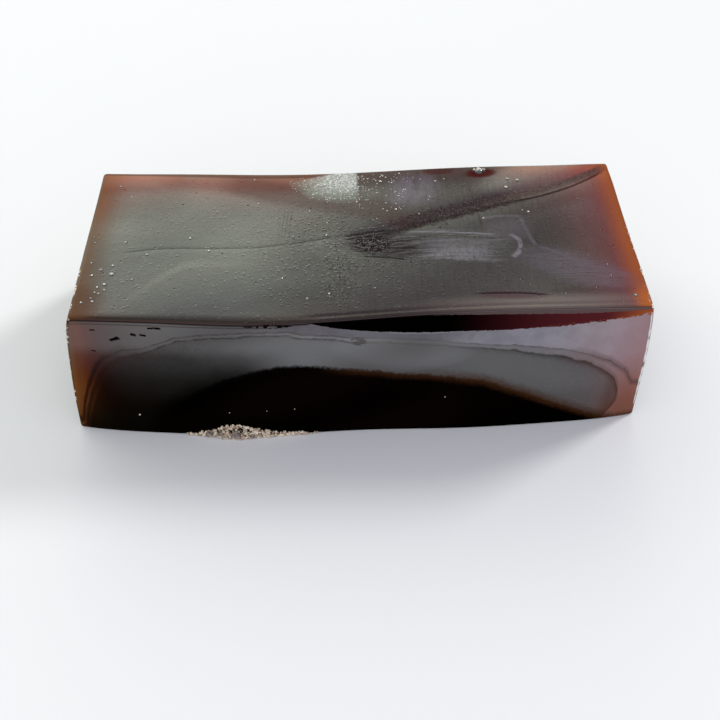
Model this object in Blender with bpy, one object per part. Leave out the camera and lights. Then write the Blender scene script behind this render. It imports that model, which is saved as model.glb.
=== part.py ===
"""Coffee jelly, set in a one-litre drinks carton and turned out on its long side: one dark, soft block.

The block starts as the inside of the carton, a long box with softened edges. Every point of it is then let
down as the jelly slumps: the ends bulge and the long faces lean out to the foot, the top sags left of its
middle, a fold runs across the top towards the back right corner, and the underside stays flat.
Lengths are in metres. +X runs along the block, the front face looks along -Y, and z = 0 is the underside.
"""
import math

import bmesh
import bpy
from mathutils import Matrix

# The carton's inner width, and the length and height of the block where the slump leaves them alone
CARTON_WIDTH = 0.070
TOP_LENGTH = 0.185
HEIGHT = 0.055
EDGE_SOFTNESS = 0.0009
EDGE_STEPS = 2
ROUND_EDGE = 0.5

# How far the foot spreads past the top, and the form of the spread: the ends bulge, the long faces lean
LEFT_END_SPREAD = 0.0100
RIGHT_END_SPREAD = 0.0080
END_SPREAD_POWER = 0.7
SIDE_SPREAD = 0.0092
CORNER_HOLD = 0.48
CORNER_HOLD_POWER = 5

# The sag of the top and the swelling of the long faces beside it
SAG_DEPTH = 0.0033
SAG_CENTRE = -0.030
SAG_REACH = 0.045
SAG_SWELL = 0.0012

# The back right corner of the top, which the fold leaves standing a little higher
CORNER_RISE = 0.0013
CORNER_RISE_START = (0.030, -0.010)

# The fold across the top, from near the middle to the back right corner
FOLD_START = (-0.004, -0.004)
FOLD_END = (0.092, 0.032)
FOLD_DEPTH = 0.0004
FOLD_HALF_WIDTH = 0.0045
FOLD_FADE_IN = 0.030
FOLD_START_SHARE = 0.5
FOLD_FADE = 8

# The upright facet that the carton's seam left under the right part of the front top edge. It starts as a
# thin wedge and ends blunt, so the power that shapes it differs on the two sides of its deepest place
FACET_START = -0.018
FACET_END = 0.096
FACET_DEPTH = 0.0096
FACET_SKEW = 0.8
FACET_PEAK = 0.5 ** (1 / FACET_SKEW)
FACET_START_POWER = 1.0
FACET_END_POWER = 0.5

# Slow waves in the soft faces: each one's length and the direction it runs in
WAVE_HEIGHT = 0.00012
WAVES = ((0.061, (1.0, 0.4, 0.2)), (0.047, (0.7, -0.9, 0.5)), (0.039, (-0.5, 0.4, 1.0)))

# How finely the box is cut before it slumps
CUTS_ALONG = 44
CUTS_ACROSS = 17
CUTS_DOWN = 9
EXTRA_TOP_CUTS = (0.0021, 0.0041, 0.0081, 0.0101)
CUT_TOLERANCE = 1e-7

# The finish, and the angle from which an edge is shaded as an edge
COLOUR = (0.035, 0.014, 0.008, 1.0)
ROUGHNESS = 0.12
SHARP_ANGLE = math.radians(40)


def clear_scene():
    for thing in list(bpy.data.objects):
        bpy.data.objects.remove(thing, do_unlink=True)


def jelly_material():
    """The jelly's plain finish: almost black coffee brown, wet and glossy."""
    material = bpy.data.materials.new("coffee_jelly")
    material.use_nodes = True
    shader = material.node_tree.nodes["Principled BSDF"]
    shader.inputs["Base Color"].default_value = COLOUR
    shader.inputs["Roughness"].default_value = ROUGHNESS
    shader.inputs["Metallic"].default_value = 0.0
    return material


def cut_across(mesh, place, direction):
    """Cuts every face of the mesh that crosses the plane through place, square to direction."""
    mesh_parts = mesh.verts[:] + mesh.edges[:] + mesh.faces[:]
    bmesh.ops.bisect_plane(mesh, geom=mesh_parts, dist=CUT_TOLERANCE, plane_co=place, plane_no=direction)


def carton_box():
    """The carton's inside as a box on z = 0, with its edges softened and its faces cut into a grid."""
    mesh = bmesh.new()
    size = Matrix.Diagonal((TOP_LENGTH, CARTON_WIDTH, HEIGHT, 1.0))
    lift = Matrix.Translation((0.0, 0.0, HEIGHT / 2))
    bmesh.ops.create_cube(mesh, size=1.0, matrix=lift @ size)
    rounding = {"offset": EDGE_SOFTNESS, "segments": EDGE_STEPS, "profile": ROUND_EDGE, "affect": "EDGES"}
    bmesh.ops.bevel(mesh, geom=mesh.edges[:], **rounding)
    for step in range(1, CUTS_ALONG):
        cut_across(mesh, ((step / CUTS_ALONG - 0.5) * TOP_LENGTH, 0, 0), (1, 0, 0))
    for step in range(1, CUTS_ACROSS):
        cut_across(mesh, (0, (step / CUTS_ACROSS - 0.5) * CARTON_WIDTH, 0), (0, 1, 0))
    heights = [step / CUTS_DOWN * HEIGHT for step in range(1, CUTS_DOWN)]
    heights += [HEIGHT - depth for depth in EXTRA_TOP_CUTS]
    for height in heights:
        cut_across(mesh, (0, 0, height), (0, 0, 1))
    return mesh


def smooth(value):
    """A step from 0 to 1 without corners, for a value that goes from 0 to 1."""
    value = min(max(value, 0.0), 1.0)
    return value * value * (3.0 - 2.0 * value)


def sag(x):
    """1 where the top sags most, falling to 0 towards both ends."""
    return math.exp(-((x - SAG_CENTRE) / SAG_REACH) ** 2)


def fold(x, y):
    """1 along the fold's line, falling to 0 beside it and before its start."""
    run_x = FOLD_END[0] - FOLD_START[0]
    run_y = FOLD_END[1] - FOLD_START[1]
    length = math.hypot(run_x, run_y)
    along = ((x - FOLD_START[0]) * run_x + (y - FOLD_START[1]) * run_y) / length
    beside = ((y - FOLD_START[1]) * run_x - (x - FOLD_START[0]) * run_y) / length
    return math.exp(-(beside / FOLD_HALF_WIDTH) ** 2) * smooth(FOLD_START_SHARE + along / FOLD_FADE_IN)


def corner(x, y):
    """1 at the back right corner of the top, falling to 0 towards the middle."""
    rise_x = smooth((x - CORNER_RISE_START[0]) / (TOP_LENGTH / 2 - CORNER_RISE_START[0]))
    rise_y = smooth((y - CORNER_RISE_START[1]) / (CARTON_WIDTH / 2 - CORNER_RISE_START[1]))
    return rise_x * rise_y


def facet_depth(x):
    """How far down the facet reaches, as a part of the height: nothing at its ends, most near its middle."""
    part = min(max((x - FACET_START) / (FACET_END - FACET_START), 0.0), 1.0)
    power = FACET_START_POWER if part < FACET_PEAK else FACET_END_POWER
    return FACET_DEPTH / HEIGHT * max(math.sin(math.pi * part ** FACET_SKEW), 0.0) ** power


def side_spread(depth, facet):
    """A long face's spread at a depth below the top: nothing on the facet, then evenly to 1 at the foot."""
    return max(depth - facet, 0.0) / (1.0 - facet)


def wave(x, y, z):
    """The sum of slow sine waves that run in different directions."""
    total = 0.0
    for length, (run_x, run_y, run_z) in WAVES:
        total += math.sin(2 * math.pi * (run_x * x + run_y * y + run_z * z) / length)
    return total


def slumped(x, y, z):
    """Where a point of the carton's box lies once the jelly has slumped."""
    depth = 1.0 - z / HEIGHT
    along = x / (TOP_LENGTH / 2)
    across = y / (CARTON_WIDTH / 2)
    end_spread = RIGHT_END_SPREAD if x > 0 else LEFT_END_SPREAD
    new_x = x + along * end_spread * depth ** END_SPREAD_POWER

    facet = facet_depth(x) if y < 0 else 0.0
    hold = 1.0 - CORNER_HOLD * abs(along) ** CORNER_HOLD_POWER
    spread = SIDE_SPREAD * hold * side_spread(depth, facet)
    swell = SAG_SWELL * sag(x) + WAVE_HEIGHT * wave(x, y, z)
    new_y = y + across * (spread + swell)

    drop = SAG_DEPTH * sag(x) - WAVE_HEIGHT * wave(x, y, z)
    drop += FOLD_DEPTH * fold(x, y) * (1.0 - depth) ** FOLD_FADE
    drop -= CORNER_RISE * corner(x, y)
    new_z = z - drop * (1.0 - depth)
    return new_x, new_y, new_z


def centre_on_origin(mesh):
    """Moves the mesh so that the middle of its box is over the origin and its lowest point is at z = 0."""
    xs = [vertex.co.x for vertex in mesh.verts]
    ys = [vertex.co.y for vertex in mesh.verts]
    zs = [vertex.co.z for vertex in mesh.verts]
    shift = (-(min(xs) + max(xs)) / 2, -(min(ys) + max(ys)) / 2, -min(zs))
    bmesh.ops.translate(mesh, verts=mesh.verts[:], vec=shift)


def jelly_block():
    mesh = carton_box()
    for vertex in mesh.verts:
        vertex.co = slumped(*vertex.co)
    centre_on_origin(mesh)
    bmesh.ops.recalc_face_normals(mesh, faces=mesh.faces[:])
    data = bpy.data.meshes.new("jelly_block")
    mesh.to_mesh(data)
    mesh.free()
    data.materials.append(jelly_material())
    data.shade_smooth()
    data.set_sharp_from_angle(angle=SHARP_ANGLE)
    block = bpy.data.objects.new("jelly_block", data)
    bpy.context.scene.collection.objects.link(block)
    return block


clear_scene()
jelly_block()
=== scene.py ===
import math

import bpy
import numpy as np
from mathutils import Matrix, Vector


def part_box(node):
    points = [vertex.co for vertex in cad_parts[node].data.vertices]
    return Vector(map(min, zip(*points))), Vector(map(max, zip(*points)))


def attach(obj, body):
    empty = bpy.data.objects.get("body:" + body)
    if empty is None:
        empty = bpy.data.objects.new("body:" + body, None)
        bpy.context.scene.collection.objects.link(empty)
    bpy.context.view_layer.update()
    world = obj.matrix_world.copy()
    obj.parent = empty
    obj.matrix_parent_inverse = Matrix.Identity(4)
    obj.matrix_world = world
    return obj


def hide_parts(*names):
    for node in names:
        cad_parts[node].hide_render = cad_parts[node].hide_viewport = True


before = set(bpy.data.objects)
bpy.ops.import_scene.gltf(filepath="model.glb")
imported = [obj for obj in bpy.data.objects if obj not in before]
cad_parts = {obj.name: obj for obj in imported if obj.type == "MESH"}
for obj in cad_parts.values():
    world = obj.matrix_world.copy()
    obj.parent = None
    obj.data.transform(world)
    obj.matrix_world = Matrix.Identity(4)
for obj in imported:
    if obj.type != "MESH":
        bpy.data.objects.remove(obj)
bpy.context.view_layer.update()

# The block of coffee jelly. It set in a square drinks carton and was turned out on its long side, where it
# slumped: the ends bulge, the long faces lean out to the foot, the top sags and is creased by a fold.
# Its mesh is the carton's section carried along the carton, and every point is then let down by the slump.
CARTON_WIDTH = 0.070
TOP_LENGTH = 0.185
HEIGHT = 0.055
LEFT_END_SPREAD = 0.0100
RIGHT_END_SPREAD = 0.0080
END_SPREAD_POWER = 0.7
SIDE_SPREAD = 0.0092
CORNER_HOLD = 0.48
CORNER_HOLD_POWER = 5
SAG_DEPTH = 0.0033
SAG_CENTRE = -0.030
SAG_REACH = 0.045
SAG_SWELL = 0.0012
CORNER_RISE = 0.0013
CORNER_RISE_START = (0.030, -0.010)
FOLD_START = (-0.004, -0.004)
FOLD_END = (0.092, 0.032)
FOLD_DEPTH = 0.0004
FOLD_HALF_WIDTH = 0.0045
FOLD_FADE_IN = 0.030
FOLD_FADE = 8
FACET_START = -0.018
FACET_END = 0.096
FACET_DEPTH = 0.0096
FACET_SKEW = 0.8
FACET_PEAK = 0.5 ** (1 / FACET_SKEW)
FACET_POWERS = (1.0, 0.5)
WAVE_HEIGHT = 0.00012
WAVES = ((0.061, (1.0, 0.4, 0.2)), (0.047, (0.7, -0.9, 0.5)), (0.039, (-0.5, 0.4, 1.0)))

# How soft the carton's edges are, and how finely the mesh is cut: round an edge, along each straight run of
# the section, over an end cap and along the carton
EDGE_SOFTNESS = 0.0009
EDGE_STEPS = 4
SECTION_STEPS = {"underside": 6, "front": 92, "top": 132, "back": 30}
CAP_ROWS = 22
BODY_ROWS = 290


def smooth(value):
    """A step from 0 to 1 without corners, for values that go from 0 to 1: 3 v squared less 2 v cubed."""
    value = np.clip(value, 0.0, 1.0)
    return value * value * (3.0 - 2.0 * value)


def bell(value, centre, reach):
    """1 at centre, falling to 0 on both sides: e to the minus square of the distance over reach."""
    return np.exp(-((value - centre) / reach) ** 2)


def along_fold(x, y):
    """How far a place is along the fold from its start, and how far beside it."""
    run_x = FOLD_END[0] - FOLD_START[0]
    run_y = FOLD_END[1] - FOLD_START[1]
    length = math.hypot(run_x, run_y)
    along = ((x - FOLD_START[0]) * run_x + (y - FOLD_START[1]) * run_y) / length
    beside = ((y - FOLD_START[1]) * run_x - (x - FOLD_START[0]) * run_y) / length
    return along, beside


def top_drop(x, y):
    """How far the top lies under the carton's height: the sag and the fold, less the corner's rise."""
    along, beside = along_fold(x, y)
    fold = bell(beside, 0.0, FOLD_HALF_WIDTH) * smooth(0.5 + along / FOLD_FADE_IN)
    rise_x = smooth((x - CORNER_RISE_START[0]) / (TOP_LENGTH / 2 - CORNER_RISE_START[0]))
    rise_y = smooth((y - CORNER_RISE_START[1]) / (CARTON_WIDTH / 2 - CORNER_RISE_START[1]))
    return SAG_DEPTH * bell(x, SAG_CENTRE, SAG_REACH), FOLD_DEPTH * fold, CORNER_RISE * rise_x * rise_y


def wave(x, y, z):
    """The sum of slow sine waves that run in different directions."""
    total = 0.0
    for length, (run_x, run_y, run_z) in WAVES:
        total = total + np.sin(2 * math.pi * (run_x * x + run_y * y + run_z * z) / length)
    return total


def facet_depth(x):
    """How far the facet reaches below the top edge: its depth times sin(pi p ** skew) to a power.

    p is the share of its length. The power changes at its deepest place, so that it starts as a thin wedge.
    """
    part = np.clip((x - FACET_START) / (FACET_END - FACET_START), 0.0, 1.0)
    power = np.where(part < FACET_PEAK, *FACET_POWERS)
    return FACET_DEPTH * np.clip(np.sin(math.pi * part ** FACET_SKEW), 0.0, 1.0) ** power


def slumped(x, y, z):
    """Where points of the carton's box lie once the jelly has slumped.

    With d the depth below the top over the height, x grows by its share of the end spread times d to a
    power, y by its share of the side spread times what d leaves under the facet, and z drops with the top.
    """
    depth = 1.0 - z / HEIGHT
    along = x / (TOP_LENGTH / 2)
    across = y / (CARTON_WIDTH / 2)
    end_spread = np.where(x > 0, RIGHT_END_SPREAD, LEFT_END_SPREAD)
    new_x = x + along * end_spread * np.clip(depth, 0.0, 1.0) ** END_SPREAD_POWER

    facet = np.where(y < 0, facet_depth(x) / HEIGHT, 0.0)
    hold = 1.0 - CORNER_HOLD * np.abs(along) ** CORNER_HOLD_POWER
    spread = SIDE_SPREAD * hold * np.clip(depth - facet, 0.0, 1.0) / (1.0 - facet)
    swell = SAG_SWELL * bell(x, SAG_CENTRE, SAG_REACH) + WAVE_HEIGHT * wave(x, y, z)
    new_y = y + across * (spread + swell)

    sag, fold, rise = top_drop(x, y)
    drop = sag + fold * (1.0 - depth) ** FOLD_FADE - rise - WAVE_HEIGHT * wave(x, y, z)
    new_z = z - drop * (1.0 - depth)
    return np.stack([new_x, new_y, new_z], axis=-1)


def carton_section():
    """The carton's section as one loop of (y, z): to the front, up it, over the top and down the back.

    Each corner is a quarter circle of the edge's softness, and the runs between are straight.
    """
    half = CARTON_WIDTH / 2 - EDGE_SOFTNESS
    low = EDGE_SOFTNESS
    high = HEIGHT - EDGE_SOFTNESS
    corners = (
        (-half, low, 270, "underside"),
        (-half, high, 180, "front"),
        (half, high, 90, "top"),
        (half, low, 0, "back"),
    )
    loop = []
    last = (half, 0.0)
    for centre_y, centre_z, start_angle, run in corners:
        turn = np.radians(start_angle - np.linspace(0, 90, EDGE_STEPS + 1))
        arc = np.array([centre_y, centre_z]) + EDGE_SOFTNESS * np.stack([np.cos(turn), np.sin(turn)], -1)
        steps = np.linspace(0, 1, SECTION_STEPS[run], endpoint=False)[1:, None]
        loop.append(np.array(last) * (1 - steps) + arc[0] * steps)
        loop.append(arc)
        last = arc[-1]
    return np.concatenate(loop)


def carton_rows():
    """Each row's x and its section's inset: out over one end cap, along the carton, in over the other cap.

    The insets of a cap's rows go evenly from the end's middle to its rim, then round a quarter circle.
    """
    half = TOP_LENGTH / 2
    cap = np.linspace(1.0, 0.0, CAP_ROWS, endpoint=False)[1:]
    turn = np.radians(np.linspace(0, 90, EDGE_STEPS, endpoint=False))
    rim_x = half - EDGE_SOFTNESS * (1 - np.cos(turn))
    rim_inset = EDGE_SOFTNESS * (1 - np.sin(turn))
    x = np.concatenate([np.full(CAP_ROWS, half), rim_x])
    deepest = CARTON_WIDTH / 2
    inset = np.concatenate([[deepest], EDGE_SOFTNESS + (deepest - EDGE_SOFTNESS) * cap, rim_inset])
    body = np.linspace(-(half - EDGE_SOFTNESS), half - EDGE_SOFTNESS, BODY_ROWS)
    return np.concatenate([-x, body, x[::-1]]), np.concatenate([inset, np.zeros(BODY_ROWS), inset[::-1]])


def carton_points():
    """The carton's inside as a grid of points: its section, inset as each row says, at each row's x."""
    x, inset = carton_rows()
    loop = carton_section()
    scale = 1.0 - inset / (CARTON_WIDTH / 2)
    y = loop[None, :, 0] * scale[:, None]
    z = HEIGHT / 2 + (loop[None, :, 1] - HEIGHT / 2) * scale[:, None]
    return np.broadcast_to(x[:, None], y.shape), y, z


def skin_faces(rows, columns):
    """Faces over a grid that closes round its columns and to one point before and after its rows."""
    grid = 1 + np.arange(rows * columns).reshape(rows, columns)
    ahead = np.roll(grid, -1, axis=1)
    quads = np.stack([grid[:-1], grid[1:], ahead[1:], ahead[:-1]], axis=-1).reshape(-1, 4)
    first = np.stack([np.zeros(columns, int), grid[0], ahead[0]], axis=-1)
    last = np.stack([np.full(columns, rows * columns + 1), ahead[-1], grid[-1]], axis=-1)
    return quads, np.concatenate([first, last])


def part_of_block(piece):
    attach(piece, "root")
    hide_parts("jelly_block")


def mesh_object(name, points, quads, triangles, material):
    """A smooth mesh object from arrays of points and of faces with four and with three corners."""
    mesh = bpy.data.meshes.new(name)
    mesh.vertices.add(len(points))
    mesh.vertices.foreach_set("co", np.ascontiguousarray(points, dtype=np.float32).ravel())
    corners = np.concatenate([quads.ravel(), triangles.ravel()]).astype(np.int32)
    mesh.loops.add(len(corners))
    mesh.loops.foreach_set("vertex_index", corners)
    starts = np.concatenate([np.arange(len(quads)) * 4, len(quads) * 4 + np.arange(len(triangles)) * 3])
    mesh.polygons.add(len(starts))
    mesh.polygons.foreach_set("loop_start", starts.astype(np.int32))
    mesh.update(calc_edges=True)
    mesh.validate()
    mesh.shade_smooth()
    mesh.materials.append(material)
    piece = bpy.data.objects.new(name, mesh)
    bpy.context.scene.collection.objects.link(piece)
    return piece


# How light comes back out of the jelly, painted into its base colour as painted glow. It soaks up blue
# first, then green, then red, so it is black where it is deep and glows amber to red where light that
# entered through a near face still gets out.
REACH = (0.0110, 0.0036, 0.0018)
GLOW_TINT = (1.0, 0.42, 0.14)
GLOW_STRENGTH = 0.85
DEEP_RED = 0.026
DEEP_RED_REACH = 0.040
DARK_RIM = 0.0034
RIM_LEAST = 0.40
FACE_LIGHT = {"top": 0.06, "underside": 0.0, "left": 0.62, "right": 1.15, "front": 0.05, "back": 1.5}
BACK_SHADE = 0.85
BACK_SHADE_FROM = (-0.020, 0.000)
BACK_SHADE_TO = (0.048, 0.068)
LIGHT_DIRECTIONS = 128
SHORTEST_WAY = 0.0010


def block_faces():
    """The block's six faces as planes: each one's outward direction, how far out it lies, and its light."""
    half = TOP_LENGTH / 2
    wide = CARTON_WIDTH / 2
    left_lean = math.atan2(LEFT_END_SPREAD, HEIGHT)
    right_lean = math.atan2(RIGHT_END_SPREAD, HEIGHT)
    side_lean = math.atan2(SIDE_SPREAD, HEIGHT)
    faces = {
        "top": ((0, 0, 1), (0, 0, HEIGHT)),
        "underside": ((0, 0, -1), (0, 0, 0)),
        "left": ((-math.cos(left_lean), 0, math.sin(left_lean)), (-half, 0, HEIGHT)),
        "right": ((math.cos(right_lean), 0, math.sin(right_lean)), (half, 0, HEIGHT)),
        "front": ((0, -math.cos(side_lean), math.sin(side_lean)), (0, -wide, HEIGHT)),
        "back": ((0, math.cos(side_lean), math.sin(side_lean)), (0, wide, HEIGHT)),
    }
    planes = []
    for name, (out, place) in faces.items():
        planes.append((np.array(out, float), float(np.dot(out, place)), FACE_LIGHT[name]))
    return planes


def back_light(x):
    """The back's light along the block: it is in shade where the fold comes near it."""
    rise = smooth((x - BACK_SHADE_FROM[0]) / (BACK_SHADE_FROM[1] - BACK_SHADE_FROM[0]))
    fall = smooth((BACK_SHADE_TO[1] - x) / (BACK_SHADE_TO[1] - BACK_SHADE_TO[0]))
    return 1.0 - BACK_SHADE * rise * fall


def glow(points, normals):
    """The share of red, green and blue light that reaches each point from the block's other faces.

    It is the mean over many directions, spread evenly over a sphere, of the light that comes in along each:
    the light on the face there times e to the minus way through the jelly over the colour's reach. A little
    red comes from further, and the last millimetres before an edge turn dark again.
    """
    index = np.arange(LIGHT_DIRECTIONS) + 0.5
    height = 1.0 - 2.0 * index / LIGHT_DIRECTIONS
    turn = index * math.pi * (3.0 - math.sqrt(5.0))
    flat = np.sqrt(1.0 - height ** 2)
    directions = np.stack([flat * np.cos(turn), flat * np.sin(turn), height], axis=-1)
    total = np.zeros((len(points), 3))
    weight = np.zeros(len(points))
    for direction in directions:
        inward = np.clip(-normals @ direction, 0.0, 1.0)
        way = np.full(len(points), np.inf)
        light = np.zeros(len(points))
        for out, reach, face_light in block_faces():
            slope = float(out @ direction)
            if slope > 0.0:
                distance = (reach - points @ out) / slope
                if out[1] > 0.5:
                    exit_x = points[:, 0] + distance * direction[0]
                    face_light = face_light * back_light(exit_x)
                light = np.where(distance < way, face_light, light)
                way = np.minimum(way, distance)
        way = np.maximum(way, SHORTEST_WAY)
        total += (inward * light)[:, None] * np.exp(-way[:, None] / np.array(REACH))
        total[:, 0] += DEEP_RED * inward * light * np.exp(-way / DEEP_RED_REACH)
        weight += inward
    depths = np.sort([reach - points @ out for out, reach, face_light in block_faces()], axis=0)
    rim = RIM_LEAST + (1.0 - RIM_LEAST) * smooth((depths[1] + 0.0002) / DARK_RIM)
    return total / np.maximum(weight, 1e-6)[:, None] * np.array(GLOW_TINT) * GLOW_STRENGTH * rim[:, None]


# The skin's gloss and paints on the front: above, a bright wet film, glossy and painted pale lilac grey as
# painted reflection; a sheen line where that grey ends, painted dark with a slight ridge as a painted
# reflection of a rim; and below it an arch where the face is dull and black, painted shade. The facet under
# the top edge is dull too, with a torn lower line. Lines are x and height in millimetres, and the gap is x
# and how far a second sheen line lies above it.
ARCH_LINE = (
    (-76, 0), (-74.5, 3), (-71, 8.4), (-64, 16), (-56, 22.5), (-47, 27.6), (-38, 30.9), (-28, 33.1),
    (-18, 33), (-8, 31), (7, 29.2), (12, 28.1), (22, 27.3), (43, 23.2), (49, 20.6), (60, 16), (78, 7.5),
    (93, 0),
)
SHEEN_LINE = (
    (-99, 0), (-96, 10), (-92.5, 19), (-88.5, 27), (-84, 34), (-79, 37.5), (-72, 39), (-66, 41.5),
    (-60, 44.6), (-52, 45.8), (-38, 46.6), (-24, 46.4), (-10, 43.6), (-2, 42.4), (20, 40.4), (52, 36),
    (70, 32.8), (79, 29.8), (85, 25.8), (89, 21.5), (91.5, 16), (92.5, 9), (93, 0), (99, -20),
)
SHEEN_GAP = (
    (-98, 5), (-88, 4.8), (-82, 3), (-60, 1.5), (0, 1.6), (40, 1.7), (64, 2.9), (80, 3.6), (85, 5.1),
    (89, 6.6), (91.5, 9.9), (92.5, 15.6), (93, 23.8), (95.6, 27.7), (99, 38.5),
)
SHEEN_TUCK = 0.04
SHEEN_TUCK_BELOW = 12.0
OFF_THE_FRONT = 30.0


def front_lines(carton, points):
    """Each point's height in millimetres over the facet's lower line, the dull arch and both sheen lines.

    Off the front they are all far from their lines, so that nothing of them shows there.
    """
    x, y, z = carton
    on_front = (y < -(CARTON_WIDTH / 2 - 0.5 * EDGE_SOFTNESS)) & (z < HEIGHT - 0.3 * EDGE_SOFTNESS)
    along, up = points[:, 0] * 1000, points[:, 2] * 1000
    tucked = along + np.where(along > 0, SHEEN_TUCK * np.clip(SHEEN_TUCK_BELOW - up, 0.0, None) ** 2, 0.0)
    second_line = np.interp(along, *zip(*SHEEN_LINE)) + np.interp(along, *zip(*SHEEN_GAP))
    heights = {
        "over_facet": ((z - HEIGHT + facet_depth(x)) * 1000, -OFF_THE_FRONT),
        "over_arch": (up - np.interp(along, *zip(*ARCH_LINE)), OFF_THE_FRONT),
        "over_sheen": (up - np.interp(tucked, *zip(*SHEEN_LINE)), OFF_THE_FRONT),
        "over_second": (up - second_line, OFF_THE_FRONT),
        "front": (1.0, 0.0),
    }
    return {name: np.where(on_front, height, elsewhere) for name, (height, elsewhere) in heights.items()}


class Field:
    """A value that varies over a surface: a shader socket on which Python's arithmetic adds Math nodes."""

    def __init__(self, tree, socket=None):
        self.tree = tree
        self.socket = socket

    def node(self, kind, settings=None, inputs=None, output=0):
        """Adds a node, first its settings and then its inputs' values or links. It gives one output."""
        node = self.tree.nodes.new(kind)
        for name, value in (settings or {}).items():
            setattr(node, name, value)
        for name, value in (inputs or {}).items():
            if isinstance(value, Field):
                self.tree.links.new(value.socket, node.inputs[name])
            else:
                node.inputs[name].default_value = value
        return Field(self.tree, node.outputs[output])

    def into(self, socket):
        self.tree.links.new(self.socket, socket)

    def maths(self, operation, *values):
        return self.node("ShaderNodeMath", {"operation": operation}, dict(enumerate(values)))

    def vector(self, operation, *values, output=0):
        return self.node("ShaderNodeVectorMath", {"operation": operation}, dict(enumerate(values)), output)

    def __add__(self, other):
        return self.maths("ADD", self, other)

    def __sub__(self, other):
        return self.maths("SUBTRACT", self, other)

    def __rsub__(self, other):
        return self.maths("SUBTRACT", other, self)

    def __mul__(self, other):
        return self.maths("MULTIPLY", self, other)

    def __abs__(self):
        return self.maths("ABSOLUTE", self)

    __radd__ = __add__
    __rmul__ = __mul__

    def most(self, other):
        return self.maths("MAXIMUM", self, other)

    def less(self, *shares):
        """This value times 1 less each of the shares."""
        left = self
        for share in shares:
            left = left * (1.0 - share)
        return left

    def ramp(self, low, high):
        """0 at low and 1 at high, with a smooth step between them. Low may be above high: then it falls."""
        if low > high:
            return 1.0 - self.ramp(high, low)
        inputs = {"Value": self, "From Min": low, "From Max": high}
        return self.node("ShaderNodeMapRange", {"interpolation_type": "SMOOTHSTEP"}, inputs)

    def mixed(self, first, second):
        """A colour that is first where this value is 0 and second where it is 1."""
        first, second = (paint if isinstance(paint, Field) else (*paint, 1.0) for paint in (first, second))
        inputs = {"Factor": self, 6: first, 7: second}
        return self.node("ShaderNodeMix", {"data_type": "RGBA"}, inputs, output=2)

    def scaled(self, factor):
        return self.node("ShaderNodeVectorMath", {"operation": "SCALE"}, {0: self, "Scale": factor})

    def axis(self, number):
        return self.node("ShaderNodeSeparateXYZ", None, {0: self}, number)

    def attribute(self, name, output=2):
        return self.node("ShaderNodeAttribute", {"attribute_name": name}, output=output)

    def noise(self, scale, detail=3.0, roughness=0.5, output=0):
        inputs = {"Vector": self, "Scale": scale, "Detail": detail, "Roughness": roughness}
        return self.node("ShaderNodeTexNoise", None, inputs, output)

    def drawn_out(self, stretch, detail=3.0, roughness=0.7):
        """Noise over this place, multiplied by a factor for each of its three directions."""
        return self.vector("MULTIPLY", self, stretch).noise(1.0, detail, roughness)

    def shaken(self, scale, reach):
        """This place moved by noise, by up to about half the reach in millimetres, for ragged edges."""
        shift = self.noise(scale, 3, 0.7, output=1)
        moved = self.vector("MULTIPLY_ADD", shift, (reach, reach, reach), self)
        return self.vector("SUBTRACT", moved, (reach / 2, reach / 2, reach / 2))

    def past(self, start, direction):
        """How far past start this place lies in a direction: the dot product with it, less the start's."""
        return self.vector("DOT_PRODUCT", self, tuple(direction), output=1) - float(start @ direction)

    def dots(self, scale, radius):
        """1 in small round dots, one in each cell of about 1/scale, fading out at a radius in cells."""
        inputs = {"Vector": self, "Scale": scale, "Randomness": 1.0}
        return self.node("ShaderNodeTexVoronoi", {"feature": "F1"}, inputs).ramp(radius, 0.4 * radius)

    def patch(self, centre, size, turn=0.0, soft=0.5):
        """1 in an oval on X and Y, in millimetres, falling to 0 at its rim over a share of its reach."""
        across = np.array([math.cos(turn), math.sin(turn), 0.0]) / size[0]
        upward = np.array([-math.sin(turn), math.cos(turn), 0.0]) / size[1]
        middle = np.array([*centre, 0.0])
        u, v = self.past(middle, across), self.past(middle, upward)
        return (u * u + v * v).ramp(1, (1 - soft) ** 2)

    def stroke(self, start, end, width, bow=0.0):
        """A line from start to end, in millimetres on X and Y: 1 on it and 0 past its width or its ends.

        The way beside it is less by the bow times 4 s (1 - s), where s is the share of its length.
        """
        run = np.array([end[0] - start[0], end[1] - start[1], 0.0])
        length = np.linalg.norm(run)
        run /= length
        side = np.array([-run[1], run[0], 0.0])
        first = np.array([*start, 0.0])
        share = self.past(first, run) * (1.0 / length)
        beside = self.past(first, side)
        if bow:
            beside = beside - share * (1.0 - share) * (4.0 * bow)
        return abs(beside).ramp(width, 0.35 * width) * share.ramp(0, 0.15) * share.ramp(1, 0.85)

    def lines(self, marks):
        """The strongest of several strokes."""
        total = self.stroke(*marks[0])
        for mark in marks[1:]:
            total = total.most(self.stroke(*mark))
        return total


def new_material(name):
    """A new Principled material: the material, its shader and the place on the object, in millimetres."""
    material = bpy.data.materials.new(name)
    material.use_nodes = True
    place = Field(material.node_tree).node("ShaderNodeTexCoord", output=3).scaled(1000.0)
    return material, material.node_tree.nodes["Principled BSDF"], place


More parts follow.
